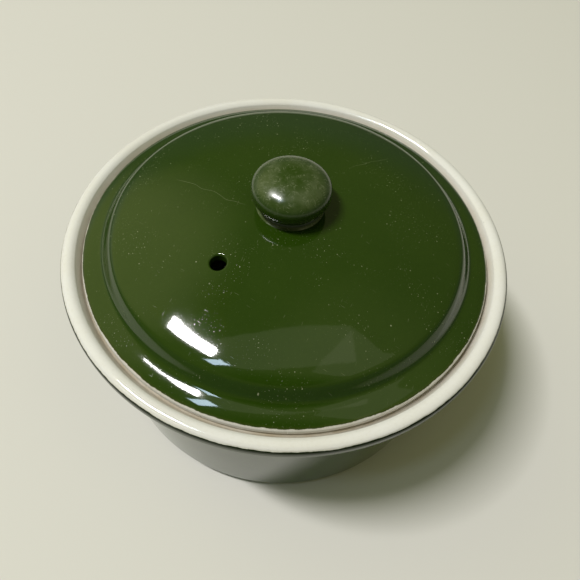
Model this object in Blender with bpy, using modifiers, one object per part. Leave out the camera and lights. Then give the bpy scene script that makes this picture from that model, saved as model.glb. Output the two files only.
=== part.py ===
"""Covered casserole dish in glazed stoneware: a round dish with a galleried rim, and a domed
lid with a steam vent and a mushroom knob.

Metres, +Z up. The origin is the centre of the circle the dish stands on, and +Z is the axis
that the dish, the lid and the knob are all turned about.
"""

import math

import bmesh
import bpy

MM = 0.001

# ---- driving dimensions (mm) -----------------------------------------------------------
RIM_Z = 109.0            # level of the rim's outer shoulder above the table
RIM_R = 121.0            # outermost radius of the rolled rim
RIM_CREST_R = 116.8      # radius of the rim's crest
RIM_CREST_UP = 1.0       # crest above RIM_Z
RIM_FACE = 5.6           # height of the rim's outer face
GALLERY_TOP_R = 113.3    # where the rim's top turns down into the gallery
GALLERY_LOW_R = 111.2    # foot of the gallery wall
LEDGE_DROP = 6.2         # ledge that the lid sits on, below RIM_Z
LEDGE_IN_R = 103.6       # inner lip of the ledge

WALL_TOP_R = 112.8       # outside of the wall, just under the rim
BASE_R = 104.3           # outside of the wall at the base corner
BASE_CORNER = 8.0        # radius of the outer base corner
WALL = 7.0               # wall thickness
FLOOR = 7.5              # floor thickness over the foot ring
FLOOR_CORNER = 15.0      # radius inside, between floor and wall
FOOT_IN_R = 88.0         # inner edge of the flat ring that touches the table
FOOT_RECESS = 1.6        # how far the base is hollowed inside that ring

LID_R = 110.0            # outermost radius of the lid
LID_EDGE_Z = -1.1        # top of the lid's edge, relative to RIM_Z, at radius 109.1
LID_T = 5.0              # lid thickness
LID_EDGE_ROUND = 2.0     # rounding at the top of the lid's edge
CROWN_END_R = 88.2       # the crown is a spherical cap out to here
CROWN_END_DEG = 19.0     # and slopes this much at its end
# slope of the lid's top outside the crown: (radius, degrees down from level)
SHOULDER = ((88.2, 19.0), (92.2, 26.0), (93.7, 42.0), (94.7, 55.0), (97.2, 57.0), (98.7, 44.0), (99.9, 23.0),
            (101.4, 17.6), (103.6, 18.4), (106.4, 21.0), (108.9, 25.0))
SEAT_IN_R = 101.2        # inner edge of the flat seat under the lid's flange
SEAT_GAP = 0.3           # lid seat to dish ledge

VENT_XY = (-32.5, -37.3)  # centre of the steam vent
VENT_R = 4.1

KNOB_R = 20.5            # knob head
KNOB_EQUATOR_Z = 38.2    # its widest circle, above RIM_Z
KNOB_DOME = 10.3         # dome of the head above that circle
KNOB_SQUARE = 2.15       # 2 is a half ellipse, and more is flatter on top with a rounder edge
KNOB_UNDER = 6.0         # depth of the head's underside below it
KNOB_TUCK = 3.6          # how far the underside curls in on the way down
KNOB_WAIST_R = 15.8      # narrowest radius of the stem
KNOB_FOOT_R = 17.8       # stem's flared foot, where it meets the lid
KNOB_GAP = 0.3           # foot of the knob to the lid's crown

STEPS_LARGE = 64
STEPS_KNOB = 40

GREEN = (0.030, 0.062, 0.008, 1.0)
GREEN_DARK = (0.022, 0.046, 0.006, 1.0)
GREEN_KNOB = (0.036, 0.066, 0.014, 1.0)


# ---- profile helpers: every point is (radius, height) in mm ---------------------------------
def arc(centre_r, centre_z, radius, start_deg, end_deg, count):
    """Points on a circle arc, both ends included. 0 degrees points outwards, 90 up."""
    points = []
    for i in range(count + 1):
        a = math.radians(start_deg + (end_deg - start_deg) * i / count)
        points.append((centre_r + radius * math.cos(a), centre_z + radius * math.sin(a)))
    return points


def straight(a, b, count):
    """Points strictly between a and b."""
    return [(a[0] + (b[0] - a[0]) * i / count, a[1] + (b[1] - a[1]) * i / count) for i in range(1, count)]


def mix(table, r):
    """Linear interpolation in a table of (radius, value)."""
    for (r0, v0), (r1, v1) in zip(table, table[1:]):
        if r <= r1:
            return v0 + (v1 - v0) * (r - r0) / (r1 - r0)
    return table[-1][1]


CROWN_RADIUS = CROWN_END_R / math.sin(math.radians(CROWN_END_DEG))


def lid_slope(r):
    """Downward slope of the lid's top at radius r, in degrees."""
    if r <= CROWN_END_R:
        return math.degrees(math.asin(r / CROWN_RADIUS))
    return mix(SHOULDER, r)


def lid_top_table(step=0.05):
    """The lid's top from its centre to the start of the edge rounding, by adding up the slope."""
    rows, z, r = [(0.0, 0.0)], 0.0, 0.0
    end = SHOULDER[-1][0]
    while r < end - 1e-9:
        n = min(r + step, end)
        z -= math.tan(math.radians(lid_slope((r + n) / 2))) * (n - r)
        r = n
        rows.append((r, z))
    lift = LID_EDGE_Z + 0.12 - rows[-1][1]
    return [(a, b + lift) for a, b in rows]


LID_TOP = lid_top_table()


def lid_top(r):
    """Height of the lid's top surface above RIM_Z."""
    i = min(int(r / 0.05), len(LID_TOP) - 2)
    (r0, z0), (r1, z1) = LID_TOP[i], LID_TOP[i + 1]
    return z0 + (z1 - z0) * (r - r0) / (r1 - r0)


def tidy(points, closest=0.12):
    """Leaves out points that nearly repeat the one before."""
    kept = [points[0]]
    for p in points[1:]:
        if math.hypot(p[0] - kept[-1][0], p[1] - kept[-1][1]) > closest:
            kept.append(p)
    if abs(points[-1][0]) < 1e-9:
        kept[-1] = points[-1]
    return kept


# ---- the three profiles --------------------------------------------------------------------
def dish_profile():
    """From the centre of the floor, up the inside, over the rim and down the outside."""
    rim = RIM_Z
    p = [(0.0, FOOT_RECESS + FLOOR), (30.0, FOOT_RECESS + FLOOR), (60.0, FOOT_RECESS + FLOOR)]
    # inside corner and wall: the wall leans outwards by its taper
    lean = math.atan2(WALL_TOP_R - BASE_R, RIM_Z - 10.0 - BASE_CORNER)
    deg = math.degrees(lean)
    floor_z = FOOT_RECESS + FLOOR
    wall_r_at = lambda z: BASE_R - WALL + (z - BASE_CORNER) * math.tan(lean)
    corner_z = floor_z + FLOOR_CORNER
    corner_r = wall_r_at(corner_z) - FLOOR_CORNER / math.cos(lean)
    p += arc(corner_r, corner_z, FLOOR_CORNER, -90, -deg, 8)
    inner_top = (LEDGE_IN_R - 0.2, rim - LEDGE_DROP - 5.0)
    p += straight(p[-1], inner_top, 4) + [inner_top]
    # rounded lip, ledge and gallery wall
    p += arc(LEDGE_IN_R + 1.6, rim - LEDGE_DROP - 1.6, 1.6, 180, 90, 3)
    p += [(GALLERY_LOW_R - 2.6, rim - LEDGE_DROP)]
    p += arc(GALLERY_LOW_R - 1.3, rim - LEDGE_DROP + 1.3, 1.3, -90, -20, 3)
    # over the rim's rounded top to its outer face
    p += [(GALLERY_TOP_R - 0.5, rim - 1.6), (GALLERY_TOP_R, rim - 0.5)]
    for i in range(1, 6):
        t = i / 6
        r = GALLERY_TOP_R + (RIM_R - 1.2 - GALLERY_TOP_R) * t
        p.append((r, rim + RIM_CREST_UP - 1.5 * (abs(r - RIM_CREST_R) / (RIM_CREST_R - GALLERY_TOP_R)) ** 2.2))
    p += arc(RIM_R - 2.2, rim - 2.4, 2.2, 62, 0, 4)
    p += arc(RIM_R - 1.8, rim - RIM_FACE + 1.0, 1.8, 0, -80, 4)
    # cove back under the rim to the wall
    cove = 2.6
    p += arc(WALL_TOP_R + cove, rim - RIM_FACE - 1.0 - cove, cove, 80, 180 - deg, 4)
    low = (BASE_R, BASE_CORNER)
    p += straight(p[-1], low, 5)
    # outer base corner, foot ring and hollowed base
    p += arc(BASE_R - BASE_CORNER, BASE_CORNER, BASE_CORNER, 0, -90, 7)
    p += [(FOOT_IN_R, 0.0), (FOOT_IN_R - 1.5, FOOT_RECESS), (50.0, FOOT_RECESS), (0.0, FOOT_RECESS)]
    return tidy(p)


def lid_profile():
    """From the crown's centre, down the top to the edge, and back in along the underside."""
    rim = RIM_Z
    radii = [0.0] + [CROWN_END_R * i / 9 for i in range(1, 10)]
    radii += [90.4, 92.0, 93.0, 93.8, 94.6, 97.2, 98.0, 98.8, 99.8, 101.6, 105.2, 108.9]
    p = [(r, rim + lid_top(r)) for r in radii]
    # rounded edge: the arc starts tangent to the flange and ends upright
    e = LID_EDGE_ROUND
    top = p[-1]
    start = math.radians(SHOULDER[-1][1])
    c = (LID_R - e, top[1] - e * math.cos(start))
    p += arc(c[0], c[1], e, 90 - SHOULDER[-1][1], 0, 4)[1:]
    seat = rim - LEDGE_DROP + SEAT_GAP
    low = 1.5
    p += arc(LID_R - low, seat + low, low, 0, -90, 3)
    # flat seat, then the underside, parallel to the top
    p += [(SEAT_IN_R + 3.0, seat), (SEAT_IN_R, seat)]
    for r in (98.9, 97.2, 95.8, 94.6, 93.6, 92.2, 89.0, 82.0, 70.0, 56.0, 42.0, 28.0, 14.0, 0.0):
        s = math.radians(lid_slope(r))
        p.append((max(r - LID_T * math.sin(s), 0.0), rim + lid_top(r) - LID_T * math.cos(s)))
    return tidy(p)


def knob_profile():
    """From the top of the head, round its edge, in to the stem and down to the lid."""
    eq = RIM_Z + KNOB_EQUATOR_Z
    p = []
    power = 2 / KNOB_SQUARE
    for i in range(10):
        a = math.radians(90 * i / 9)
        p.append((KNOB_R * math.sin(a) ** power, eq + KNOB_DOME * abs(math.cos(a)) ** power))
    # underside of the head: a quarter turn inwards, then level to the waist
    for i in range(1, 5):
        a = math.radians(90 * i / 4)
        p.append((KNOB_R - KNOB_TUCK * (1 - math.cos(a)), eq - KNOB_UNDER * math.sin(a)))
    under = eq - KNOB_UNDER
    foot = RIM_Z + lid_top(KNOB_FOOT_R) + KNOB_GAP
    p += arc(KNOB_WAIST_R + 1.2, under - 1.2, 1.2, 90, 180, 3)
    flare = KNOB_FOOT_R - KNOB_WAIST_R
    for i in range(1, 5):
        a = math.radians(90 * i / 4)
        p.append((KNOB_WAIST_R + flare * (1 - math.cos(a)), foot + 0.5 + 3.0 * (1 - math.sin(a))))
    p.append((KNOB_FOOT_R, foot))
    for i in range(3, -1, -1):
        r = KNOB_FOOT_R * i / 4
        p.append((r, RIM_Z + lid_top(r) + KNOB_GAP))
    return tidy(p)


# ---- making the objects ----------------------------------------------------------------------
def clear_scene():
    for o in list(bpy.data.objects):
        bpy.data.objects.remove(o, do_unlink=True)
    for group in (bpy.data.meshes, bpy.data.materials, bpy.data.curves):
        for block in list(group):
            group.remove(block)
    for c in list(bpy.data.collections):
        bpy.data.collections.remove(c)


def collection(name):
    c = bpy.data.collections.new(name)
    bpy.context.scene.collection.children.link(c)
    return c


def glaze(name, colour, roughness):
    m = bpy.data.materials.new(name)
    m.use_nodes = True
    b = m.node_tree.nodes["Principled BSDF"]
    b.inputs["Base Color"].default_value = colour
    b.inputs["Roughness"].default_value = roughness
    b.inputs["Metallic"].default_value = 0.0
    m.diffuse_color = colour
    return m


def turned(name, points, steps, material, home):
    """A turned piece: a profile in the XZ plane, swept about Z by a Screw modifier."""
    mesh = bpy.data.meshes.new(name)
    verts = [(r * MM, 0.0, z * MM) for r, z in points]
    mesh.from_pydata(verts, [(i, i + 1) for i in range(len(verts) - 1)], [])
    mesh.materials.append(material)
    obj = bpy.data.objects.new(name, mesh)
    home.objects.link(obj)
    s = obj.modifiers.new("turn", "SCREW")
    s.axis = "Z"
    s.angle = 2 * math.pi
    s.steps = steps
    s.render_steps = steps
    s.use_merge_vertices = True
    s.merge_threshold = 0.00002
    s.use_smooth_shade = True
    return obj


def main():
    clear_scene()
    home = collection("covered_casserole_dish")
    cutters = collection("cutters")

    dish = turned("casserole_dish", dish_profile(), STEPS_LARGE, glaze("dish_glaze", GREEN_DARK, 0.12), home)

    # the lid lifts straight off: its parent empty stands on the lift axis, at seat height
    lift = bpy.data.objects.new("lid_lift_axis", None)
    lift.empty_display_type = "SINGLE_ARROW"
    lift.empty_display_size = 0.06
    lift.location = (0.0, 0.0, (RIM_Z - LEDGE_DROP + SEAT_GAP) * MM)
    home.objects.link(lift)

    def hang(obj):
        obj.parent = lift
        obj.location = (0.0, 0.0, -lift.location.z)

    lid = turned("lid", lid_profile(), STEPS_LARGE, glaze("lid_glaze", GREEN, 0.10), home)
    hang(lid)
    knob = turned("lid_knob", knob_profile(), STEPS_KNOB, glaze("knob_glaze", GREEN_KNOB, 0.18), home)
    hang(knob)

    # steam vent: a round hole straight down through the crown
    mesh = bpy.data.meshes.new("vent_cutter")
    bm = bmesh.new()
    bmesh.ops.create_cone(bm, cap_ends=True, cap_tris=False, segments=28, radius1=VENT_R * MM, radius2=VENT_R * MM, depth=30 * MM)
    bm.to_mesh(mesh)
    bm.free()
    cutter = bpy.data.objects.new("vent_cutter", mesh)
    cutters.objects.link(cutter)
    crown = RIM_Z + lid_top(math.hypot(*VENT_XY))
    cutter.location = (VENT_XY[0] * MM, VENT_XY[1] * MM, (crown - LID_T / 2) * MM)
    cutter.hide_render = True
    cutter.display_type = "WIRE"
    cut = lid.modifiers.new("steam_vent", "BOOLEAN")
    cut.operation = "DIFFERENCE"
    cut.solver = "EXACT"
    cut.object = cutter

    for obj in (dish, lid, knob):
        sharp = obj.modifiers.new("weighted_normals", "WEIGHTED_NORMAL")
        sharp.keep_sharp = True
    bpy.context.view_layer.update()


main()
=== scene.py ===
"""Looks of the covered casserole dish: the glazed dish, the domed lid and the knob.

Metres, +Z up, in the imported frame. Profiles are worked out in millimetres as (radius, height),
from the boxes of the CAD nodes that the meshes stand for.
"""

import math

import bpy
import numpy as np
from mathutils import Matrix, Vector

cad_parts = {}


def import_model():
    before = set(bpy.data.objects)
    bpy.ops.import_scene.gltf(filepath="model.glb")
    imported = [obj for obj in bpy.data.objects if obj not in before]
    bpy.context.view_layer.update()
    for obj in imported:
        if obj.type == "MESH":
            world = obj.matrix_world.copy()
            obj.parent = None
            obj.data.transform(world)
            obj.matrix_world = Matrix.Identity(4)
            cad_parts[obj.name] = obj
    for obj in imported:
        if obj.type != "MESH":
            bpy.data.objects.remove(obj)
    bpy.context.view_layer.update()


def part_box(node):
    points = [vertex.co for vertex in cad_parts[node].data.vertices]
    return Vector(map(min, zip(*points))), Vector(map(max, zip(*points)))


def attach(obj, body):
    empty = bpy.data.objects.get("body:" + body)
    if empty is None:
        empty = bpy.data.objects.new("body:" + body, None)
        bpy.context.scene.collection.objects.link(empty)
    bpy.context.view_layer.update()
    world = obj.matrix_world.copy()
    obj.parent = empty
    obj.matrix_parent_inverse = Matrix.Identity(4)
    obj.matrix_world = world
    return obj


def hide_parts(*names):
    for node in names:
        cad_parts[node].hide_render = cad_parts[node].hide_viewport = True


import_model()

MM = 0.001
TAU = 2 * math.pi

# ---- datums read from the frame (mm) ----------------------------------------------------------
dish_lo, dish_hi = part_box("casserole_dish")
lid_lo, lid_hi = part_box("lid")
knob_lo, knob_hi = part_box("lid_knob")

RIM_R = dish_hi.x / MM                       # outermost radius of the rolled rim
RIM_Z = dish_hi.z / MM - 1.0                 # level of the rim's outer shoulder
LEDGE_Z = lid_lo.z / MM - 0.3                # ledge that the lid sits on
LID_R = lid_hi.x / MM                        # outermost radius of the lid
CROWN_Z = lid_hi.z / MM                      # top of the lid's crown
KNOB_R = knob_hi.x / MM
KNOB_TOP = knob_hi.z / MM
FOOT_Z = dish_lo.z / MM

# ---- proportions (mm) ---------------------------------------------------------------------
CREST_R = RIM_R - 4.2
GALLERY_TOP_R = RIM_R - 7.7
GALLERY_LOW_R = RIM_R - 9.8
LEDGE_IN_R = RIM_R - 17.4
WALL_TOP_R = RIM_R - 8.2
BASE_R = RIM_R - 16.7
BASE_CORNER = 8.0
WALL = 7.0
FOOT_RECESS = 1.6
FLOOR_Z = FOOT_RECESS + 7.5
FOOT_IN_R = 88.0
FLOOR_CORNER = 15.0
LEAN = math.atan2(WALL_TOP_R - BASE_R, RIM_Z - 10.0 - BASE_CORNER)

LID_T = 5.0
SEAT_Z = LEDGE_Z + 0.3
SEAT_IN_R = 101.2
CROWN_END_R, CROWN_END_DEG = 88.2, 19.0
CROWN_RADIUS = CROWN_END_R / math.sin(math.radians(CROWN_END_DEG))
SHOULDER = ((88.2, 19.0), (92.2, 26.0), (93.7, 42.0), (94.7, 55.0), (97.2, 57.0), (98.7, 44.0), (99.9, 22.0),
            (101.4, 15.8), (103.6, 16.4), (106.4, 20.5), (108.9, 25.0))
VENT = np.array((-32.5, -37.3))
VENT_R = 4.1
VENT_ROUND = 0.95

KNOB_DOME = 10.3
KNOB_SQUARE = 2.15
KNOB_UNDER = 6.1
KNOB_WAIST_R = 15.8
KNOB_FOOT_R = 17.8


# ---- profile work ------------------------------------------------------------------------------
def arc(cr, cz, rad, a0, a1, step=2.5):
    """Points on a circle arc, both ends included. 0 degrees points outwards, 90 up."""
    n = max(2, int(abs(a1 - a0) / step))
    a = np.radians(np.linspace(a0, a1, n + 1))
    return [(cr + rad * math.cos(t), cz + rad * math.sin(t)) for t in a]


def resampled(points, gap=0.1):
    p = np.array(points, float)
    keep = np.r_[True, np.hypot(*np.diff(p, axis=0).T) > 1e-6]
    p = p[keep]
    s = np.r_[0, np.cumsum(np.hypot(*np.diff(p, axis=0).T))]
    t = np.linspace(0, s[-1], max(2, int(s[-1] / gap)) + 1)
    return np.column_stack((np.interp(t, s, p[:, 0]), np.interp(t, s, p[:, 1])))


def softened(p, sigma, gap=0.1):
    """Rounds the profile's creases, as a glaze does, and keeps its two ends where they are."""
    half = int(4 * sigma / gap)
    k = np.exp(-0.5 * (np.arange(-half, half + 1) * gap / sigma) ** 2)
    k /= k.sum()
    out = np.empty_like(p)
    for c in (0, 1):
        head = 2 * p[0, c] - p[half:0:-1, c]
        tail = 2 * p[-1, c] - p[-2:-half - 2:-1, c]
        out[:, c] = np.convolve(np.r_[head, p[:, c], tail], k, "valid")
    return out


def thinned(p, turn_deg=3.0, longest=4.0):
    """Keeps a point at each small turn of the profile, and at least one each few mm."""
    d = np.diff(p, axis=0)
    a = np.unwrap(np.arctan2(d[:, 1], d[:, 0]))
    s = np.r_[0, np.cumsum(np.hypot(d[:, 0], d[:, 1]))]
    keep, last = [0], 0
    for i in range(1, len(p) - 1):
        turn = np.abs(a[last:i + 1] - a[last]).max()
        if turn > math.radians(turn_deg) or s[i] - s[last] > longest:
            keep.append(i)
            last = i
    return keep + [len(p) - 1]


def dish_profile():
    """From the centre of the floor, up the inside, over the rim and down the outside to the base's centre."""
    deg = math.degrees(LEAN)
    wall_in = lambda z: BASE_R - WALL + (z - BASE_CORNER) * math.tan(LEAN)
    cz = FLOOR_Z + FLOOR_CORNER
    cr = wall_in(cz) - FLOOR_CORNER / math.cos(LEAN)
    p = [(0.0, FLOOR_Z + 0.25), (25.0, FLOOR_Z + 0.2), (60.0, FLOOR_Z)]
    p += arc(cr, cz, FLOOR_CORNER, -90, -deg)
    p += [(LEDGE_IN_R - 0.2, LEDGE_Z - 5.0)]
    p += arc(LEDGE_IN_R + 1.6, LEDGE_Z - 1.6, 1.6, 180, 90, 6)
    p += [(GALLERY_LOW_R - 2.6, LEDGE_Z)]
    p += arc(GALLERY_LOW_R - 1.3, LEDGE_Z + 1.3, 1.3, -90, -20, 6)
    p += [(GALLERY_TOP_R - 0.5, RIM_Z - 1.6), (GALLERY_TOP_R, RIM_Z - 0.5)]
    for t in np.linspace(0.02, 0.98, 40):
        r = GALLERY_TOP_R + (RIM_R - 1.2 - GALLERY_TOP_R) * t
        p.append((r, RIM_Z + 1.0 - 1.5 * (abs(r - CREST_R) / (CREST_R - GALLERY_TOP_R)) ** 2.2))
    p += arc(RIM_R - 2.2, RIM_Z - 2.4, 2.2, 62, 0)
    p += arc(RIM_R - 1.8, RIM_Z - 4.6, 1.8, 0, -80)
    cove = 2.6
    p += arc(WALL_TOP_R + cove, RIM_Z - 6.6 - cove, cove, 80, 180 - deg)
    p += [(BASE_R, BASE_CORNER)]
    p += arc(BASE_R - BASE_CORNER, BASE_CORNER, BASE_CORNER, 0, -90)
    p += [(FOOT_IN_R + 0.5, FOOT_Z), (FOOT_IN_R - 1.3, FOOT_RECESS), (50.0, FOOT_RECESS), (0.0, FOOT_RECESS)]
    return p


def lid_slope_table():
    """Radius and slope (rise over run) of the lid's top, with the shoulder's changes eased."""
    r = np.arange(0, 109.0 + 1e-9, 0.05)
    deg = np.degrees(np.arcsin(np.minimum(r / CROWN_RADIUS, 1)))
    out = r > CROWN_END_R
    deg[out] = np.interp(r[out], [a for a, _ in SHOULDER], [b for _, b in SHOULDER])
    half, sigma = 100, 0.5 / 0.05
    k = np.exp(-0.5 * (np.arange(-half, half + 1) / sigma) ** 2)
    k /= k.sum()
    ext = np.r_[-deg[half:0:-1], deg, deg[-1] + (deg[-1] - deg[-2]) * np.arange(1, half + 1)]
    deg = np.convolve(ext, k, "valid")
    slope = -np.tan(np.radians(deg))
    z = np.r_[0, np.cumsum((slope[1:] + slope[:-1]) / 2 * 0.05)]
    return r, slope, z + CROWN_Z


LID_TABLE = lid_slope_table()


def lid_top(r):
    return np.interp(r, LID_TABLE[0], LID_TABLE[2])


def lid_grad(r):
    return np.interp(r, LID_TABLE[0], LID_TABLE[1])


def under_line():
    """The lid's underside, parallel to its top, as (radius, height) from the seat in to the centre."""
    r = np.linspace(99.0, 0.0, 600)
    s = np.arctan(-lid_grad(r))
    pts = np.column_stack((np.maximum(r - LID_T * np.sin(s), 0), lid_top(r) - LID_T * np.cos(s)))
    # the offset line keeps running inwards, and its tightest turn is eased
    keep = [0]
    for i in range(1, len(pts)):
        if pts[i, 0] < pts[keep[-1], 0] - 0.02:
            keep.append(i)
    line = softened(resampled(pts[keep], 0.1), 1.2)
    line[-1, 0] = 0.0
    return line


def lid_rim_profile(r_from):
    """From r_from on the lid's top, round its edge and seat, and in under the crown to the same radius."""
    r = np.arange(r_from, 108.9, 0.1)
    p = list(zip(r, lid_top(r)))
    e = 2.0
    a = math.degrees(math.atan(-lid_grad(108.9)))
    top = (108.9, float(lid_top(108.9)))
    c = (LID_R - e, top[1] - e * math.cos(math.radians(a)))
    p += arc(c[0], c[1], e, 90 - a, 0)
    p += arc(LID_R - 1.5, SEAT_Z + 1.5, 1.5, 0, -90)
    p += [(SEAT_IN_R, SEAT_Z)]
    under = under_line()
    p += [tuple(q) for q in under if q[0] > r_from - 0.5]
    return p


def knob_profile():
    """From the top of the head, round its edge, in to the stem and down into the lid's crown."""
    eq = KNOB_TOP - KNOB_DOME
    power = 2 / KNOB_SQUARE
    p = []
    for t in np.linspace(0, math.pi / 2, 90):
        p.append((KNOB_R * math.sin(t) ** power, eq + KNOB_DOME * abs(math.cos(t)) ** power))
    for t in np.linspace(0.05, math.pi / 2, 24):
        p.append((KNOB_R - 3.6 * (1 - math.cos(t)), eq - KNOB_UNDER * math.sin(t)))
    under = eq - KNOB_UNDER
    p += arc(KNOB_WAIST_R + 1.3, under - 1.3, 1.3, 90, 180, 8)
    base = float(lid_top(KNOB_FOOT_R))
    for t in np.linspace(0.05, 1.25, 16):
        p.append((KNOB_WAIST_R + (KNOB_FOOT_R - KNOB_WAIST_R) * (1 - math.cos(t)) / (1 - math.cos(1.25)),
                  base + 0.15 + 3.2 * (1 - math.sin(t) / math.sin(1.25))))
    p += [(KNOB_FOOT_R + 0.25, base - 0.25), (KNOB_FOOT_R - 1.0, base - 0.6), (0.0, base - 0.6)]
    return p


# ---- mesh building -----------------------------------------------------------------------------
def make_mesh(name, verts, faces, normals=None, attrs=None):
    me = bpy.data.meshes.new(name)
    me.from_pydata([tuple(v) for v in verts * MM], [], faces)
    me.shade_smooth()
    for key, values in (attrs or {}).items():
        layer = me.attributes.new(key, "FLOAT", "POINT")
        layer.data.foreach_set("value", np.asarray(values, np.float32))
    me.validate()
    me.update()
    if normals is not None:
        me.normals_split_custom_set_from_vertices([tuple(n) for n in normals])
    ob = bpy.data.objects.new(name, me)
    bpy.context.scene.collection.objects.link(ob)
    return ob


def ring_faces(rings, seg, first=0, closed=False):
    faces = []
    for i in range(rings if closed else rings - 1):
        a, b = first + i * seg, first + ((i + 1) % rings) * seg
        for j in range(seg):
            k = (j + 1) % seg
            faces.append((a + j, b + j, b + k, a + k))
    return faces


def turned(name, profile, seg, sigma=0.25, turn=3.0, longest=4.0, shape=None, attrs=None):
    """A closed turned body: the profile runs from the axis round to the axis again."""
    fine = softened(resampled(profile), sigma)
    fine[0, 0] = fine[-1, 0] = 0.0
    s = np.r_[0, np.cumsum(np.hypot(*np.diff(fine, axis=0).T))]
    keep = thinned(fine, turn, longest)
    p, s = fine[keep], s[keep]
    inner = p[1:-1]
    th = np.arange(seg) * TAU / seg
    r, z = inner[:, 0][:, None], inner[:, 1][:, None]
    x, y, zz = r * np.cos(th), r * np.sin(th), z + 0 * th
    if shape:
        x, y, zz = shape(x, y, zz, th)
    verts = [(0.0, 0.0, p[0, 1])] + list(np.stack((x, y, zz), -1).reshape(-1, 3)) + [(0.0, 0.0, p[-1, 1])]
    verts = np.array([np.asarray(v, float) for v in verts])
    n = len(inner)
    last = 1 + n * seg
    # the profile's outer side runs outwards and over, so each ring is joined to the next with its face out
    faces = [(0, 1 + (j + 1) % seg, 1 + j) for j in range(seg)] if p[0, 1] < p[-1, 1] else [(0, 1 + j, 1 + (j + 1) % seg) for j in range(seg)]
    faces = [(0, 1 + j, 1 + (j + 1) % seg) for j in range(seg)]
    faces += [(b, a, d, c) for a, b, c, d in [(f[3], f[2], f[1], f[0]) for f in ring_faces(n, seg, 1)]]
    faces += [(last, last - seg + (j + 1) % seg, last - seg + j) for j in range(seg)]
    data = {}
    for key, fn in (attrs or {}).items():
        v = fn(p[:, 0], p[:, 1], s)
        data[key] = np.r_[v[0], np.repeat(v[1:-1], seg), v[-1]]
    return make_mesh(name, verts, faces, attrs=data)


def face_out(ob):
    """Turns every face out if the closed mesh is inside out."""
    import bmesh
    bm = bmesh.new()
    bm.from_mesh(ob.data)
    if bm.calc_volume(signed=True) < 0:
        bmesh.ops.reverse_faces(bm, faces=bm.faces)
        bm.to_mesh(ob.data)
    bm.free()
    ob.data.shade_smooth()
    ob.data.update()


# ---- the dish ----------------------------------------------------------------------------------
def dish_shape(x, y, z, th):
    """A hand-finished rim: a trace out of round and out of level, fading out towards the ledge and the foot."""
    r = np.hypot(x, y)
    w = np.clip((r - 111.5) / 6, 0, 1) * np.clip((z - 90) / 12, 0, 1)
    w = w * w * (3 - 2 * w)
    dr = 0.13 * np.cos(2 * th + 0.7) + 0.07 * np.cos(3 * th + 2.2) + 0.035 * np.cos(7 * th + 0.4)
    dz = 0.10 * np.cos(2 * th + 2.4) + 0.06 * np.cos(5 * th + 1.1) + 0.03 * np.cos(9 * th)
    k = 1 + (w * (dr - 0.15)) / np.maximum(r, 1)
    return x * k, y * k, z + w * (dz - 0.12)


def dish_edge(r, z, s):
    """Arc length past the line where the cream glaze ends on the rim's outer shoulder."""
    crest = int(np.argmax(z))
    i = crest + int(np.argmin(np.abs(r[crest:crest + 60] - (RIM_R - 0.95)) + 10 * (np.gradient(r)[crest:crest + 60] < 0)))
    return s - s[i]


def dish_foot(r, z, s):
    """1 on the bare ring that stands on the table, 0 elsewhere."""
    lip = s[int(np.argmax(r))]
    return ((z < 0.45) & (r > FOOT_IN_R - 1.5) & (s > lip)).astype(float)


def dish_gallery_shade(r, z, s):
    """How deep a point sits in the gallery: the mask of painted shade, which browns and darkens the glaze towards the
    gallery's foot.
    """
    inside = (r > LEDGE_IN_R) & (r < GALLERY_TOP_R + 0.6) & (s < s[int(np.argmax(r))])
    depth = np.clip((RIM_Z - 0.2 - z) / (RIM_Z - LEDGE_Z), 0, 1)
    return np.where(inside, depth, 0.0)


# the third attribute is the mask of painted shade deep in the gallery
dish = turned("dish_body", dish_profile(), 288, sigma=0.28, turn=3.0, longest=3.0, shape=dish_shape,
              attrs={"edge_mm": dish_edge, "foot": dish_foot, "gallery_shade": dish_gallery_shade})
face_out(dish)


# ---- the lid -----------------------------------------------------------------------------------
def lid_wave(x, y):
    """The slow unevenness of a cast or thrown lid: height in mm and its two slopes."""
    z = np.zeros_like(x)
    gx = np.zeros_like(x)
    gy = np.zeros_like(x)
    fade = np.clip((104 - np.hypot(x, y)) / 12, 0, 1)
    for amp, wave, ang, ph in ((0.045, 74, 0.4, 0.3), (0.035, 61, 1.7, 2.0), (0.020, 43, 2.6, 4.1), (0.012, 31, 0.9, 1.2), (0.010, 27, 2.1, 5.0)):
        kx, ky = TAU / wave * math.cos(ang), TAU / wave * math.sin(ang)
        t = kx * x + ky * y + ph
        z += amp * np.cos(t) * fade
        gx -= amp * kx * np.sin(t) * fade
        gy -= amp * ky * np.sin(t) * fade
    return z, gx, gy


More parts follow.
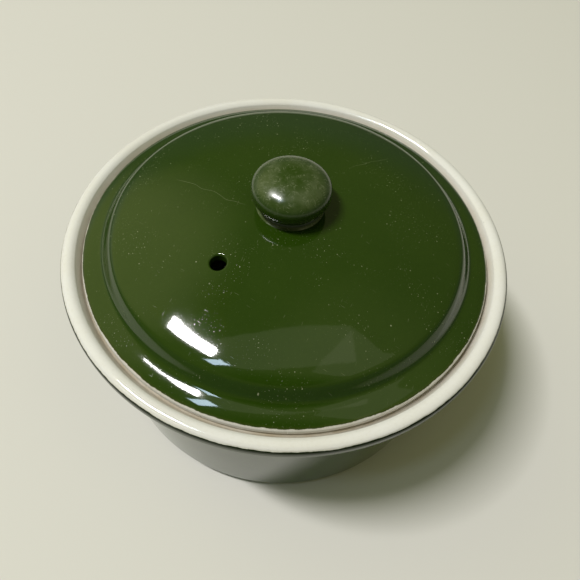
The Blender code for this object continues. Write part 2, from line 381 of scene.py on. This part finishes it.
def build_lid():
    """The lid as rings of points: out from the vent's edge on top, round the rim, and back in to the vent below."""
    seg = 288
    th = np.arange(seg) * TAU / seg
    co, si = np.cos(th), np.sin(th)
    meet = 70.0
    rings, norms, edge, under = [], [], [], []

    def centre(rho, start):
        t = (rho - start) / (meet - start)
        return VENT * (1 - t)

    out0 = VENT_R + VENT_ROUND
    # the vent's rounded edge, from the wall of the hole up to the top
    for a in np.radians(np.linspace(90, 9, 10)):
        rho = out0 - VENT_ROUND * math.sin(a)
        x, y = VENT[0] + rho * co, VENT[1] + rho * si
        r = np.hypot(x, y)
        wz, gx, gy = lid_wave(x, y)
        z = lid_top(r) + wz - VENT_ROUND * (1 - math.cos(a))
        nt = np.stack((-lid_grad(r) * x / r - gx, -lid_grad(r) * y / r - gy, np.ones(seg)), -1)
        nt /= np.linalg.norm(nt, axis=1)[:, None]
        n = math.cos(a) * nt - math.sin(a) * np.stack((co, si, 0 * co), -1)
        rings.append(np.stack((x, y, z), -1)); norms.append(n); edge.append(-40.0); under.append(0.0)
    # the crown, on circles that slide from the vent's centre to the lid's own
    for rho in np.r_[out0, out0 + np.cumsum(np.linspace(0.5, 1.6, 61))[:-1]]:
        if rho >= meet - 0.8:
            break
        c = centre(rho, out0)
        x, y = c[0] + rho * co, c[1] + rho * si
        r = np.maximum(np.hypot(x, y), 1e-6)
        wz, gx, gy = lid_wave(x, y)
        n = np.stack((-lid_grad(r) * x / r - gx, -lid_grad(r) * y / r - gy, np.ones(seg)), -1)
        rings.append(np.stack((x, y, lid_top(r) + wz), -1)); norms.append(n / np.linalg.norm(n, axis=1)[:, None]); edge.append(-40.0); under.append(0.0)
    # outer crown, shoulder, flange, rounded edge, seat and outer underside
    fine = resampled(lid_rim_profile(meet), 0.1)
    turn_at = int(np.argmax(fine[:, 0] > 108.0))
    soft = softened(fine, 0.3)
    soft[:turn_at] = fine[:turn_at]
    blend = np.clip((np.arange(len(fine)) - turn_at) / 20, 0, 1)[:, None]
    fine = fine * (1 - blend) + soft * blend
    s = np.r_[0, np.cumsum(np.hypot(*np.diff(fine, axis=0).T))]
    tang = np.gradient(fine, axis=0)
    keep = thinned(fine, 2.0, 1.2)
    lip = int(np.argmax(fine[:, 0] >= 109.25))
    low = int(np.argmax(fine[:, 0] >= LID_R - 0.02))
    for i in keep:
        r, z = fine[i]
        t = tang[i] / np.hypot(*tang[i])
        nr, nz = -t[1], t[0]
        x, y = r * co, r * si
        top = i <= low
        if top:
            wz, gx, gy = lid_wave(x, y)
            n = np.stack((nr * co - gx * max(nz, 0), nr * si - gy * max(nz, 0), nz + 0 * co), -1)
        else:
            wz = 0
            n = np.stack((nr * co, nr * si, nz + 0 * co), -1)
        rings.append(np.stack((x, y, z + wz + 0 * co), -1)); norms.append(n / np.linalg.norm(n, axis=1)[:, None])
        edge.append(s[i] - s[lip]); under.append(0.0 if top else 1.0)
    # inner underside, on circles that slide back to the vent
    u = under_line()[::-1]
    uz = lambda r: np.interp(r, u[:, 0], u[:, 1])
    for rho in np.r_[out0, out0 + np.cumsum(np.linspace(0.8, 3.2, 34))[:-1]][::-1]:
        if rho >= meet - 1.5:
            continue
        c = centre(rho, out0)
        x, y = c[0] + rho * co, c[1] + rho * si
        r = np.maximum(np.hypot(x, y), 1e-6)
        g = (uz(r + 0.3) - uz(np.maximum(r - 0.3, 0))) / (np.minimum(r, 0.3) + 0.3)
        n = np.stack((g * x / r, g * y / r, -np.ones(seg)), -1)
        rings.append(np.stack((x, y, uz(r)), -1)); norms.append(n / np.linalg.norm(n, axis=1)[:, None]); edge.append(60.0); under.append(1.0)
    # the vent's lower edge and its wall
    for a in np.radians(np.linspace(15, 90, 7)):
        rho = out0 - VENT_ROUND * math.sin(a)
        x, y = VENT[0] + rho * co, VENT[1] + rho * si
        r = np.hypot(x, y)
        n = -math.cos(a) * np.array([0, 0, 1.0]) - math.sin(a) * np.stack((co, si, 0 * co), -1)
        rings.append(np.stack((x, y, uz(r) + VENT_ROUND * (1 - math.cos(a))), -1)); norms.append(n); edge.append(-40.0); under.append(0.0)
    low_ring, top_ring = rings[-1], rings[0]
    for t in (0.33, 0.66):
        rings.append(low_ring * (1 - t) + top_ring * t)
        norms.append(-np.stack((co, si, 0 * co), -1)); edge.append(-40.0); under.append(0.0)
    verts = np.concatenate(rings)
    normals = np.concatenate(norms)
    faces = ring_faces(len(rings), seg, 0, closed=True)
    a, b, c = (verts[faces[5 * seg][k]] for k in (0, 1, 2))
    if np.dot(np.cross(b - a, c - b), normals[faces[5 * seg][0]]) < 0:
        faces = [f[::-1] for f in faces]
    return make_mesh("lid_shell", verts, faces, normals,
                     {"edge_mm": np.repeat(edge, seg), "under": np.repeat(under, seg)})


lid = build_lid()


# ---- the knob ----------------------------------------------------------------------------------
def knob_shape(x, y, z, th):
    """The head sits a hair off its stem's axis and is a hair out of round."""
    up = np.clip((z - (KNOB_TOP - 15)) / 6, 0, 1)
    k = 1 + up * (0.0035 * np.cos(2 * th + 1.0) + 0.002 * np.cos(3 * th) - 0.004)
    return x * k - 0.12 * up, y * k + 0.05 * up, z + up * 0.004 * x


knob = turned("knob", knob_profile(), 144, sigma=0.3, turn=2.5, longest=1.2, shape=knob_shape)
face_out(knob)


# ---- materials ---------------------------------------------------------------------------------
class Nodes:
    """Short ways to add and link shader nodes."""

    def __init__(self, name):
        self.mat = bpy.data.materials.new(name)
        self.mat.use_nodes = True
        self.t = self.mat.node_tree
        self.t.nodes.clear()
        self.out = self.t.nodes.new("ShaderNodeOutputMaterial")
        self.bsdf = self.t.nodes.new("ShaderNodeBsdfPrincipled")
        self.t.links.new(self.bsdf.outputs[0], self.out.inputs[0])
        self.coord = self.t.nodes.new("ShaderNodeTexCoord").outputs["Object"]
        sep = self.add("ShaderNodeSeparateXYZ", {0: self.coord})
        self.x, self.y, self.z = sep.outputs
        flat = self.add("ShaderNodeCombineXYZ", {0: self.x, 1: self.y})
        self.flat = flat.outputs[0]
        self.r = self.add("ShaderNodeVectorMath", {0: self.flat}, operation="LENGTH").outputs["Value"]
        self.ring = self.add("ShaderNodeVectorMath", {0: self.flat}, operation="NORMALIZE").outputs[0]

    def add(self, kind, inputs=None, **settings):
        n = self.t.nodes.new(kind)
        for k, v in settings.items():
            setattr(n, k, v)
        for k, v in (inputs or {}).items():
            if isinstance(v, bpy.types.NodeSocket):
                self.t.links.new(v, n.inputs[k])
            else:
                n.inputs[k].default_value = v
        return n

    def math(self, op, a, b=0.0, c=0.0, clamp=False):
        return self.add("ShaderNodeMath", {0: a, 1: b, 2: c}, operation=op, use_clamp=clamp).outputs[0]

    def attr(self, name):
        n = self.t.nodes.new("ShaderNodeAttribute")
        n.attribute_name = name
        n.attribute_type = "GEOMETRY"
        return n.outputs["Fac"]

    def ease(self, v, lo, hi, a=0.0, b=1.0):
        return self.add("ShaderNodeMapRange", {"Value": v, "From Min": lo, "From Max": hi, "To Min": a, "To Max": b},
                        interpolation_type="SMOOTHSTEP", clamp=True).outputs[0]

    def mix(self, f, a, b):
        n = self.t.nodes.new("ShaderNodeMix")
        n.data_type = "RGBA"
        for k, v in ((0, f), (6, a), (7, b)):
            if isinstance(v, bpy.types.NodeSocket):
                self.t.links.new(v, n.inputs[k])
            else:
                n.inputs[k].default_value = v if k == 0 else (*v, 1.0)
        return n.outputs[2]

    def noise(self, vec, mm, detail=2.0, rough=0.5, distortion=0.0):
        """Noise with features about mm across, 0 to 1 about 0.5."""
        return self.add("ShaderNodeTexNoise", {"Vector": vec, "Scale": 1000.0 / mm, "Detail": detail, "Roughness": rough, "Distortion": distortion}).outputs["Fac"]

    def moved(self, vec, loc=(0, 0, 0), rot=0.0, scale=(1, 1, 1)):
        return self.add("ShaderNodeMapping", {"Vector": vec, "Location": loc, "Rotation": (0, 0, rot), "Scale": scale}).outputs[0]

    def specks(self, vec, cell, least, most, share, dims="2D"):
        """Round specks: one in each cell of that many mm, with radii in mm, in that share of the cells."""
        v = self.add("ShaderNodeTexVoronoi", {"Vector": vec, "Scale": 1000.0 / cell, "Randomness": 1.0}, voronoi_dimensions=dims, feature="F1")
        rnd = self.add("ShaderNodeSeparateColor", {0: v.outputs["Color"]})
        on = self.math("LESS_THAN", rnd.outputs[0], share)
        cube = self.math("POWER", rnd.outputs[1], 2.5)
        size = self.math("MULTIPLY_ADD", cube, (most - least) / cell, least / cell)
        edge = self.math("SUBTRACT", 1.0, self.math("DIVIDE", v.outputs["Distance"], size))
        body = self.ease(edge, 0.0, 0.45)
        weight = self.math("MULTIPLY_ADD", rnd.outputs[2], 0.7, 0.3)
        return self.math("MULTIPLY", self.math("MULTIPLY", body, on), weight)

    def scratches(self, vec, rot, length, width, share, seed):
        """Sparse short scratches, length and width in mm, along one direction."""
        bend = self.add("ShaderNodeTexNoise", {"Vector": vec, "Scale": 45.0, "Detail": 1.0}).outputs["Color"]
        bent = self.add("ShaderNodeVectorMath", {0: bend, 1: (0.004, 0.004, 0.0), 2: vec}, operation="MULTIPLY_ADD").outputs[0]
        # the cell is about 5 marks long and 5 wide
        m = self.moved(self.moved(bent, rot=rot), loc=(seed, seed * 1.7, 0), scale=(1 / (2.5 * length), 1 / (5 * width), 1))
        v = self.add("ShaderNodeTexVoronoi", {"Vector": m, "Scale": 1000.0, "Randomness": 1.0}, voronoi_dimensions="2D", feature="F1")
        rnd = self.add("ShaderNodeSeparateColor", {0: v.outputs["Color"]})
        on = self.math("LESS_THAN", rnd.outputs[0], share)
        body = self.ease(v.outputs["Distance"], 0.2, 0.08)
        return self.math("MULTIPLY", self.math("MULTIPLY", body, on), self.math("MULTIPLY_ADD", rnd.outputs[1], 0.7, 0.3))

    def total(self, *values):
        v = values[0]
        for w in values[1:]:
            v = self.math("ADD", v, w)
        return v

    def bump(self, height_mm, strength=1.0):
        """Height in mm to the surface's normal."""
        n = self.add("ShaderNodeBump", {"Height": height_mm, "Strength": strength, "Distance": MM})
        self.t.links.new(n.outputs[0], self.bsdf.inputs["Normal"])

    def set(self, **values):
        for k, v in values.items():
            s = self.bsdf.inputs[k.replace("_", " ")]
            if isinstance(v, bpy.types.NodeSocket):
                self.t.links.new(v, s)
            else:
                s.default_value = v


GREEN = (0.0160, 0.0390, 0.0020)
GREEN_LIGHT = (0.0195, 0.0440, 0.0028)
GREEN_DEEP = (0.0060, 0.0130, 0.0010)
CREAM = (0.745, 0.735, 0.725)
CREAM_WARM = (0.705, 0.685, 0.630)
TAN = (0.330, 0.260, 0.150)
BUFF = (0.420, 0.330, 0.220)
DUST = (0.310, 0.330, 0.200)


def green_colour(n, vec):
    """The green glaze: a slow drift of tone and a faint fine mottle."""
    slow = n.ease(n.noise(vec, 46, 3, 0.55), 0.35, 0.65)
    fine = n.ease(n.noise(vec, 2.4, 3, 0.6), 0.3, 0.7)
    c = n.mix(n.math("MULTIPLY_ADD", fine, 0.35, n.math("MULTIPLY", slow, 0.65)), GREEN, GREEN_LIGHT)
    return c


def ripple(n, vec, gain=1.0):
    """The glaze's surface: a slow roll, a finer orange peel and a trace of grain, in mm."""
    roll = n.math("MULTIPLY", n.noise(vec, 26, 1, 0.4), 0.055 * gain)
    peel = n.math("MULTIPLY", n.noise(vec, 5.0, 2, 0.5), 0.0085 * gain)
    grain = n.math("MULTIPLY", n.noise(vec, 1.1, 1, 0.5), 0.0007 * gain)
    return n.total(roll, peel, grain)


def cream_colour(n, vec):
    slow = n.ease(n.noise(vec, 38, 3, 0.6), 0.35, 0.7)
    fine = n.ease(n.noise(vec, 1.6, 3, 0.65), 0.45, 0.75)
    c = n.mix(n.math("MULTIPLY", slow, 0.5), CREAM, CREAM_WARM)
    return n.mix(n.math("MULTIPLY", fine, 0.10), c, (0.50, 0.44, 0.31))


def lid_material():
    n = Nodes("lid_glaze_green_and_cream")
    green = green_colour(n, n.coord)
    cream = cream_colour(n, n.coord)
    # dust specks, grit and short scratches on the green
    patch = n.ease(n.noise(n.moved(n.flat, (0.7, 0.4, 0)), 30, 3, 0.6), 0.48, 0.60)
    ragged = n.add("ShaderNodeVectorMath", {0: n.add("ShaderNodeTexNoise", {"Vector": n.flat, "Scale": 1100.0, "Detail": 2.0}).outputs["Color"],
                                            1: (0.0005, 0.0005, 0.0), 2: n.flat}, operation="MULTIPLY_ADD").outputs[0]
    dust = n.specks(ragged, 12, 0.14, 0.50, 0.45)
    grit = n.specks(n.moved(ragged, (0.31, 0.17, 0)), 3.2, 0.10, 0.36, 0.70)
    fine = n.specks(n.moved(ragged, (0.11, 0.47, 0)), 1.7, 0.07, 0.17, 0.70)
    marks = n.total(
        n.scratches(n.flat, 0.5, 3.0, 0.10, 0.010, 0.11),
        n.scratches(n.flat, 1.9, 2.5, 0.10, 0.012, 0.37))
    # two long hair-fine scratches that wander
    sway = n.add("ShaderNodeTexNoise", {"Vector": n.flat, "Scale": 38.0, "Detail": 2.0, "Roughness": 0.55}).outputs["Color"]
    swayed = n.add("ShaderNodeVectorMath", {0: sway, 1: (0.012, 0.012, 0.0), 2: n.flat}, operation="MULTIPLY_ADD").outputs[0]
    lx, ly, _ = n.add("ShaderNodeSeparateXYZ", {0: swayed}).outputs
    hair = n.math("MULTIPLY", n.ease(n.math("ABSOLUTE", n.math("MULTIPLY_ADD", lx, 0.55, n.math("ADD", ly, 0.006))), 0.00016, 0.00004),
                  n.math("MULTIPLY", n.ease(lx, -0.058, -0.050), n.ease(lx, -0.016, -0.022)))
    hair = n.math("ADD", hair, n.math("MULTIPLY", n.ease(n.math("ABSOLUTE", n.math("MULTIPLY_ADD", lx, -0.8, n.math("SUBTRACT", ly, 0.010))), 0.00014, 0.00004),
                                      n.math("MULTIPLY", n.ease(lx, 0.034, 0.040), n.ease(lx, 0.062, 0.056))), clamp=True)
    light = n.math("ADD", n.math("MULTIPLY", dust, 0.70), n.math("MULTIPLY", n.math("MULTIPLY", grit, patch), 0.95), clamp=True)
    light = n.math("ADD", light, n.math("MULTIPLY", fine, n.math("MULTIPLY_ADD", patch, 0.60, 0.14)), clamp=True)
    light = n.math("ADD", light, n.math("MULTIPLY", marks, 0.30), clamp=True)
    light = n.math("ADD", light, n.math("MULTIPLY", hair, 0.30), clamp=True)
    green = n.mix(light, green, DUST)
    # where the green stops, on the rounding of the edge
    wavy = n.math("MULTIPLY_ADD", n.noise(n.ring, 90, 3, 0.6), 1.5, -0.75)
    wavy = n.math("ADD", wavy, n.math("MULTIPLY_ADD", n.noise(n.coord, 2.2, 2, 0.6), 0.7, -0.35))
    e = n.math("ADD", n.attr("edge_mm"), wavy)
    thin = n.ease(e, -1.6, 0.1)
    green = n.mix(n.math("MULTIPLY", thin, 0.45), green, (0.050, 0.060, 0.012))
    is_cream = n.ease(e, -0.12, 0.22)
    browned = n.ease(e, 1.6, 0.0)
    cream = n.mix(n.math("MULTIPLY", browned, 0.35), cream, TAN)
    n.set(Base_Color=n.mix(is_cream, green, cream))
    rough = n.math("MULTIPLY_ADD", n.noise(n.coord, 18, 3, 0.6), 0.05, 0.025)
    rough = n.math("ADD", rough, n.math("MULTIPLY", light, 0.5))
    n.set(Roughness=n.math("ADD", rough, n.math("MULTIPLY", is_cream, 0.06)))
    n.set(IOR=1.52)
    n.bump(n.total(ripple(n, n.coord, 1.2), n.math("MULTIPLY", light, 0.02), n.math("MULTIPLY", is_cream, -0.05)))
    return n.mat


def knob_material():
    n = Nodes("knob_glaze_green")
    green = green_colour(n, n.coord)
    up = n.add("ShaderNodeSeparateXYZ", {0: n.add("ShaderNodeNewGeometry").outputs["Normal"]}).outputs[2]
    top = n.ease(up, 0.20, 0.90)
    dust = n.specks(n.flat, 3.4, 0.10, 0.38, 0.65)
    marks = n.total(
        n.scratches(n.flat, 0.3, 2.2, 0.09, 0.16, 0.13),
        n.scratches(n.flat, 1.3, 2.8, 0.08, 0.14, 0.41),
        n.scratches(n.flat, 2.4, 2.0, 0.09, 0.16, 0.77))
    worn = n.ease(n.noise(n.coord, 6.5, 4, 0.65), 0.36, 0.68)
    warp = n.add("ShaderNodeTexNoise", {"Vector": n.flat, "Scale": 120.0, "Detail": 2.0}).outputs["Color"]
    warped = n.add("ShaderNodeVectorMath", {0: warp, 1: (0.006, 0.006, 0.0), 2: n.flat}, operation="MULTIPLY_ADD").outputs[0]
    streak = n.noise(n.moved(n.moved(warped, rot=0.9), scale=(0.30, 1.0, 1.0)), 1.0, 4, 0.65)
    streak = n.math("MULTIPLY", n.ease(streak, 0.56, 0.74), worn)
    scuff = n.math("MULTIPLY", n.math("ADD", n.math("MULTIPLY", dust, 0.8), n.math("MULTIPLY", marks, 0.7), clamp=True), n.math("MULTIPLY_ADD", top, 0.75, 0.25))
    scuff = n.math("ADD", scuff, n.math("MULTIPLY", n.math("MULTIPLY", streak, top), 0.55), clamp=True)
    # the hazy wear is thickest on the shoulder of the head, where it is handled; the same lighter colour is also
    # painted sheen, laid only on the upward-facing head
    grip = n.math("MULTIPLY", n.ease(n.r, 0.003, 0.013), n.ease(n.r, 0.0195, 0.0165, 0.35, 1.0))
    haze_and_sheen = n.math("MULTIPLY", n.math("MULTIPLY", top, n.math("MULTIPLY_ADD", worn, 0.6, n.math("MULTIPLY", grip, 0.5))), 0.115)
    c = n.mix(n.math("ADD", n.math("MULTIPLY", scuff, 0.65), haze_and_sheen, clamp=True), green, DUST)
    n.set(Base_Color=c)
    rough = n.math("MULTIPLY_ADD", n.math("MULTIPLY", top, n.math("MULTIPLY_ADD", worn, 0.6, n.math("MULTIPLY", grip, 0.4))), 0.26, 0.07)
    # the side of the head is duller with handling
    rough = n.math("ADD", rough, n.ease(up, 0.55, 0.20, 0.0, 0.20))
    n.set(Specular_IOR_Level=n.ease(up, 0.20, 0.55, 0.24, 0.5))
    n.set(Roughness=n.math("ADD", rough, n.math("MULTIPLY", scuff, 0.4), clamp=True))
    n.set(IOR=1.52)
    n.bump(n.total(ripple(n, n.coord, 0.6), n.math("MULTIPLY", scuff, 0.012), n.math("MULTIPLY", n.math("MULTIPLY", worn, top), 0.006)))
    return n.mat


def dish_material():
    n = Nodes("dish_glaze_green_and_cream")
    green = green_colour(n, n.coord)
    cream = cream_colour(n, n.coord)
    # painted shade: the gallery's cream is painted tan, unevenly, and more so towards its foot
    gallery_shade = n.attr("gallery_shade")
    gallery_shade = n.math("MULTIPLY", gallery_shade, n.math("MULTIPLY_ADD", n.noise(n.coord, 12, 3, 0.6), 0.9, 0.45), clamp=True)
    cream = n.mix(n.math("MULTIPLY", gallery_shade, 0.8), cream, TAN)
    # pinholes on the rim, and grey cutlery marks on the floor
    pins = n.specks(n.flat, 8.5, 0.16, 0.42, 0.16)
    low = n.ease(n.z, 0.030, 0.012)
    cut = n.total(n.scratches(n.flat, 0.2, 9, 0.10, 0.05, 0.21), n.scratches(n.flat, 1.2, 12, 0.09, 0.05, 0.53), n.scratches(n.flat, 2.3, 8, 0.10, 0.05, 0.83))
    cut = n.math("MULTIPLY", n.math("MULTIPLY", cut, low), 0.5)
    cream = n.mix(cut, cream, (0.16, 0.16, 0.15))
    rim = n.math("MULTIPLY", n.ease(n.r, 0.1125, 0.1145), n.ease(n.x, -0.02, 0.06, 0.25, 1.0))
    cream = n.mix(n.math("MULTIPLY", n.math("MULTIPLY", pins, rim), 0.9), cream, (0.10, 0.075, 0.040))
    # where the cream stops on the rim's outer shoulder, and the dark line of green that follows it
    wavy = n.math("MULTIPLY_ADD", n.noise(n.ring, 160, 4, 0.6), 1.5, -0.75)
    wavy = n.math("ADD", wavy, n.math("MULTIPLY_ADD", n.noise(n.coord, 2.6, 2, 0.6), 0.5, -0.25))
    e = n.math("ADD", n.attr("edge_mm"), wavy)
    e = n.math("ADD", e, n.math("MULTIPLY_ADD", n.x, 4.0, -0.15))
    is_green = n.ease(e, -0.12, 0.16)
    deep = n.ease(e, 3.4, 1.6)
    green = n.mix(deep, green, GREEN_DEEP)
    thin = n.ease(e, -0.9, 0.0)
    cream = n.mix(n.math("MULTIPLY", thin, 0.35), cream, (0.42, 0.42, 0.27))
    c = n.mix(is_green, cream, green)
    foot = n.attr("foot")
    foot = n.ease(n.math("ADD", foot, n.math("MULTIPLY_ADD", n.noise(n.coord, 3, 3, 0.6), 0.4, -0.2)), 0.42, 0.58)
    clay = n.mix(n.noise(n.coord, 0.9, 4, 0.7), BUFF, (0.30, 0.22, 0.14))
    c = n.mix(foot, c, clay)
    n.set(Base_Color=c)
    rough = n.math("MULTIPLY_ADD", n.noise(n.coord, 16, 3, 0.6), 0.06, 0.05)
    rough = n.math("ADD", rough, n.math("MULTIPLY", gallery_shade, 0.15))
    rough = n.math("ADD", rough, n.math("MULTIPLY", cut, 0.3))
    n.set(Roughness=n.math("ADD", rough, n.math("MULTIPLY", foot, 0.75), clamp=True))
    n.set(IOR=1.52)
    n.bump(n.total(ripple(n, n.coord), n.math("MULTIPLY", is_green, -0.06),
                   n.math("MULTIPLY", n.math("MULTIPLY", pins, rim), -0.15),
                   n.math("MULTIPLY", n.math("MULTIPLY", n.noise(n.coord, 0.7, 3, 0.7), foot), 0.08)))
    return n.mat


dish.data.materials.append(dish_material())
lid.data.materials.append(lid_material())
knob.data.materials.append(knob_material())

for piece, body, node, slot in ((dish, "dish", "casserole_dish", "dish_glaze"), (lid, "lid", "lid", "lid_glaze"), (knob, "lid", "lid_knob", "knob_glaze")):
    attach(piece, body)
    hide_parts(node)


# ---- floor, light and camera -----------------------------------------------------------------
def floor():
    me = bpy.data.meshes.new("floor")
    h = 4.0
    me.from_pydata([(-h, -h, 0), (h, -h, 0), (h, h, 0), (-h, h, 0)], [], [(0, 1, 2, 3)])
    ob = bpy.data.objects.new("floor", me)
    bpy.context.scene.collection.objects.link(ob)
    ob.location.z = dish_lo.z - 0.0002
    n = Nodes("floor_plain")
    n.set(Base_Color=(0.65, 0.635, 0.61, 1.0), Roughness=0.75)
    me.materials.append(n.mat)


def direction(az, el):
    a, e = math.radians(az), math.radians(el)
    return Vector((math.cos(a) * math.cos(e), math.sin(a) * math.cos(e), math.sin(e)))


def softbox(name, az, el, dist, wide, high, radiance, colour=(1, 1, 1), roll=0.0, at=(0, 0, 0.13)):
    """A rectangular soft light, aimed at the lid. Radiance is what its reflection shows."""
    d = bpy.data.lights.new(name, "AREA")
    d.shape = "RECTANGLE"
    d.size, d.size_y = wide, high
    d.energy = radiance * math.pi * wide * high
    d.color = colour
    ob = bpy.data.objects.new(name, d)
    bpy.context.scene.collection.objects.link(ob)
    way = direction(az, el)
    ob.location = Vector(at) + way * dist
    ob.rotation_euler = (way.to_track_quat("Z", "Y").to_matrix() @ Matrix.Rotation(math.radians(roll), 3, "Z")).to_euler()
    return ob


def world():
    w = bpy.data.worlds.new("studio")
    bpy.context.scene.world = w
    w.use_nodes = True
    t = w.node_tree
    t.nodes.clear()
    out = t.nodes.new("ShaderNodeOutputWorld")
    bg = t.nodes.new("ShaderNodeBackground")
    t.links.new(bg.outputs[0], out.inputs[0])
    way = t.nodes.new("ShaderNodeTexCoord").outputs["Generated"]

    def lobe(az, el, lo, hi, a, b):
        dot = t.nodes.new("ShaderNodeVectorMath")
        dot.operation = "DOT_PRODUCT"
        t.links.new(way, dot.inputs[0])
        dot.inputs[1].default_value = direction(az, el)
        m = t.nodes.new("ShaderNodeMapRange")
        m.interpolation_type = "SMOOTHSTEP"
        t.links.new(dot.outputs["Value"], m.inputs["Value"])
        for k, v in (("From Min", lo), ("From Max", hi), ("To Min", a), ("To Max", b)):
            m.inputs[k].default_value = v
        return m.outputs[0]

    def op(kind, a, b):
        m = t.nodes.new("ShaderNodeMath")
        m.operation = kind
        t.links.new(a, m.inputs[0])
        t.links.new(b, m.inputs[1])
        return m.outputs[0]

    # an even room, dimmer towards the horizon, brighter overhead to the right and low on the left,
    # and unlit behind the camera
    level = lobe(0, 90, -0.05, 0.75, 0.08, 0.18)
    level = op("ADD", level, lobe(-28, 62, 0.80, 0.97, 0.0, 0.12))
    level = op("ADD", level, lobe(153, 36, 0.80, 0.98, 0.0, 0.52))
    level = op("MULTIPLY", level, lobe(-88, 54, 0.90, 0.985, 1.0, 0.12))
    t.links.new(level, bg.inputs["Strength"])
    # neutral near the horizon, warm overhead
    tint = t.nodes.new("ShaderNodeMix")
    tint.data_type = "RGBA"
    t.links.new(lobe(0, 90, 0.12, 0.42, 0.0, 1.0), tint.inputs[0])
    tint.inputs[6].default_value = (1.0, 0.99, 0.94, 1.0)
    tint.inputs[7].default_value = (1.0, 1.03, 0.46, 1.0)
    t.links.new(tint.outputs[2], bg.inputs["Color"])


def camera():
    d = bpy.data.cameras.new("camera")
    d.sensor_width = 36.0
    d.lens = 36.06
    d.clip_start, d.clip_end = 0.01, 20.0
    ob = bpy.data.objects.new("camera", d)
    bpy.context.scene.collection.objects.link(ob)
    m = Matrix(((0.996772, -0.079534, -0.010934), (0.059612, 0.824461, -0.562770), (0.053774, 0.560301, 0.826541))).to_4x4()
    m.translation = Vector((0.0, -0.20350, RIM_Z * MM + 0.248097))
    ob.matrix_world = m
    bpy.context.scene.camera = ob


floor()
world()
camera()
softbox("key", -173, 64.5, 4.0, 1.16, 0.21, 180.0, (1.0, 0.985, 0.965), roll=45.0)
softbox("cool_side", -143, 66, 4.0, 0.30, 0.62, 15.0, (0.66, 0.84, 1.0))
softbox("overhead", -78, 83, 2.2, 1.70, 0.50, 0.36, (1.0, 1.0, 0.72))
softbox("overhead_right", -25, 62, 2.2, 0.80, 0.90, 0.30, (1.0, 1.0, 0.70), roll=-10.0)

scene = bpy.context.scene
scene.view_settings.view_transform = "Standard"
scene.view_settings.look = "None"
scene.view_settings.exposure = 0.0
scene.view_settings.gamma = 1.0
